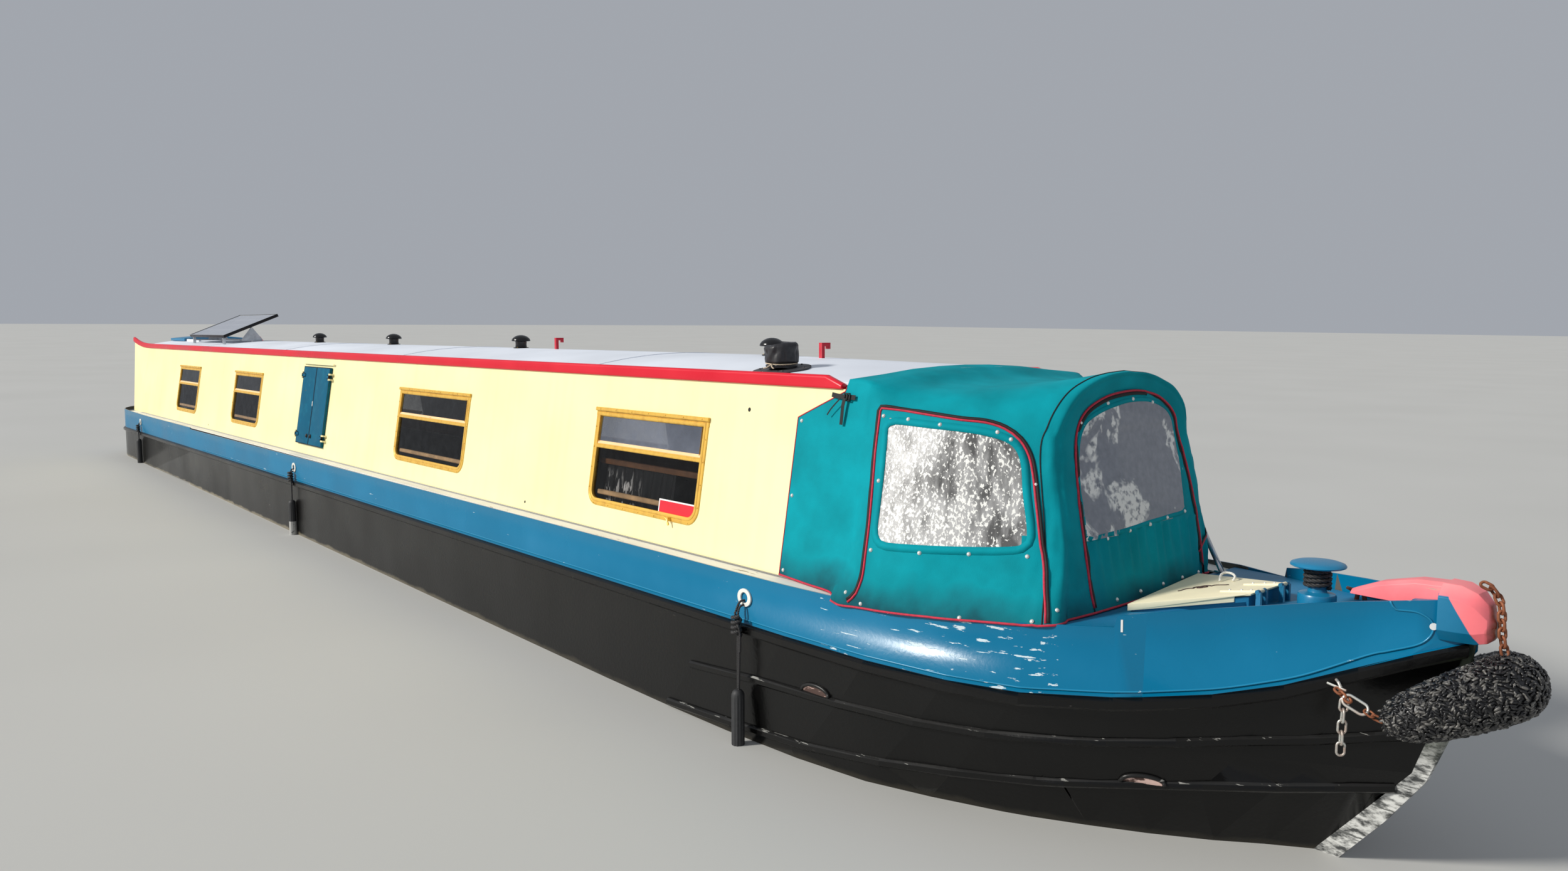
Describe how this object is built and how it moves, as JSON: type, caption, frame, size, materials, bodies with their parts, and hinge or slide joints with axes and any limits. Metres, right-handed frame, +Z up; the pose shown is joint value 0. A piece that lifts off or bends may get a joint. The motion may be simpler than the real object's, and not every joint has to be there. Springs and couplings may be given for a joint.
{
  "type": "steel narrowboat",
  "caption": "Long narrow steel canal boat with a cabin, a covered fore well, side hatch, hinged doors, sliding stern hatch, rudder and propeller.",
  "frame": {"origin": "on the underside of the flat baseplate, on the centre line, at the hull's mid-length", "axes": "+X forward to the bow, +Y to port, +Z up from the baseplate"},
  "size_m": [18.1925, 2.183, 2.5622],
  "materials": {
    "hull_blacking": "glossy black paint, scuffed at the strakes",
    "blue_enamel": "gloss blue enamel",
    "cream_enamel": "gloss cream enamel",
    "red_enamel": "gloss red enamel",
    "stem_paint": "worn red and pink paint",
    "roof_paint": "light grey roof paint",
    "deck_paint": "light grey deck paint",
    "dark_deck": "dark deck paint",
    "window_brass": "polished brass frame round glass",
    "vent_black": "gloss black",
    "flue_wrap": "black wrap tied round the collar",
    "bare_steel": "dull galvanised",
    "solar_glass": "panel glass in a silver frame",
    "cover_fabric": "woven teal canvas with clear panels",
    "rope_black": "black rope",
    "fender_rubber": "ribbed black fender",
    "eye_white": "white paint",
    "chain_rust": "rusted galvanised chain",
    "propeller_bronze": "dull bronze",
    "engine_paint": "plain paint",
    "sole_wood": "boards",
    "steering_black": "black paint"
  },
  "bodies": {
    "boat": {"hull": "hull_blacking", "stem_head": "stem_paint", "side_deck_starboard": "deck_paint", "side_deck_port": "deck_paint", "counter_deck": "dark_deck", "foredeck": "blue_enamel", "cabin_sole": "sole_wood", "well_floor": "sole_wood", "engine_block": "engine_paint", "cabin_side_starboard_aft": "cream_enamel", "cabin_side_starboard_fore": "cream_enamel", "side_hatch_sill": "cream_enamel", "side_hatch_head": "cream_enamel", "cabin_side_port": "cream_enamel", "handrail_starboard": "red_enamel", "handrail_port": "red_enamel", "roof": "roof_paint", "front_bulkhead": "cream_enamel", "rear_bulkhead": "cream_enamel", "flue_collar": "flue_wrap", "solar_mount": "bare_steel", "cratch_frame": "bare_steel", "cratch_cover": "cover_fabric", "mooring_stud": "blue_enamel", "bow_fender": "rope_black", "fender_chain_starboard": "chain_rust", "fender_chain_port": "chain_rust", "window_1_starboard": "window_brass", "window_1_port": "window_brass", "mushroom_vent_1": "vent_black", "window_2_starboard": "window_brass", "window_2_port": "window_brass", "mushroom_vent_2": "vent_black", "window_3_starboard": "window_brass", "window_3_port": "window_brass", "mushroom_vent_3": "vent_black", "window_4_starboard": "window_brass", "window_4_port": "window_brass", "mushroom_vent_4": "vent_black", "fender_eye_fore": "eye_white", "fender_rope_fore": "rope_black", "side_fender_fore": "fender_rubber", "fender_eye_middle": "eye_white", "fender_rope_middle": "rope_black", "side_fender_middle": "fender_rubber", "fender_eye_aft": "eye_white", "fender_rope_aft": "rope_black", "side_fender_aft": "fender_rubber"},
    "side_hatch_aft": {"side_hatch_leaf_aft": "blue_enamel"},
    "side_hatch_fore": {"side_hatch_leaf_fore": "blue_enamel"},
    "front_door_starboard": {"front_door_starboard": "blue_enamel"},
    "front_door_port": {"front_door_port": "blue_enamel"},
    "rear_door_starboard": {"rear_door_starboard": "blue_enamel"},
    "rear_door_port": {"rear_door_port": "blue_enamel"},
    "sliding_hatch": {"sliding_hatch": "blue_enamel"},
    "locker_lid": {"locker_lid": "cream_enamel"},
    "solar_panel": {"solar_panel": "solar_glass"},
    "rudder": {"rudder": "steering_black"},
    "propeller": {"propeller": "propeller_bronze"}
  },
  "joints": [
    {"name": "side_hatch_aft_hinge", "type": "hinge", "parent": "boat", "child": "side_hatch_aft", "pos_m": [-0.88, -0.94166, 1.38698], "axis": [0, -0.158, -0.9874], "range_deg": [0, 160]},
    {"name": "side_hatch_fore_hinge", "type": "hinge", "parent": "boat", "child": "side_hatch_fore", "pos_m": [-0.15, -0.94166, 1.38698], "axis": [0, 0.158, 0.9874], "range_deg": [0, 160]},
    {"name": "front_door_starboard_hinge", "type": "hinge", "parent": "boat", "child": "front_door_starboard", "pos_m": [6.659, -0.2975, 1.3], "axis": [0, 0, -1], "range_deg": [0, 105]},
    {"name": "front_door_port_hinge", "type": "hinge", "parent": "boat", "child": "front_door_port", "pos_m": [6.659, 0.2975, 1.3], "axis": [0, 0, 1], "range_deg": [0, 105]},
    {"name": "rear_door_starboard_hinge", "type": "hinge", "parent": "boat", "child": "rear_door_starboard", "pos_m": [-8.129, -0.2975, 1.6], "axis": [0, 0, 1], "range_deg": [0, 105]},
    {"name": "rear_door_port_hinge", "type": "hinge", "parent": "boat", "child": "rear_door_port", "pos_m": [-8.129, 0.2975, 1.6], "axis": [0, 0, -1], "range_deg": [0, 105]},
    {"name": "sliding_hatch_slide", "type": "slide", "parent": "boat", "child": "sliding_hatch", "axis": [1, 0, 0], "range_m": [0, 0.6]},
    {"name": "locker_lid_hinge", "type": "hinge", "parent": "boat", "child": "locker_lid", "pos_m": [8.204, 0, 1.35142], "axis": [0, 1, 0], "range_deg": [0, 85]},
    {"name": "solar_panel_tilt", "type": "hinge", "parent": "boat", "child": "solar_panel", "pos_m": [-5.6, -0.208, 2.382], "axis": [1, 0, 0], "range_deg": [-45, 0]},
    {"name": "rudder_turn", "type": "hinge", "parent": "boat", "child": "rudder", "pos_m": [-8.7, 0, 1], "axis": [0, 0, 1], "range_deg": [-60, 60]},
    {"name": "propeller_spin", "type": "hinge", "parent": "boat", "child": "propeller", "pos_m": [-8.16, 0, 0.3], "axis": [1, 0, 0], "continuous": true}
  ]
}
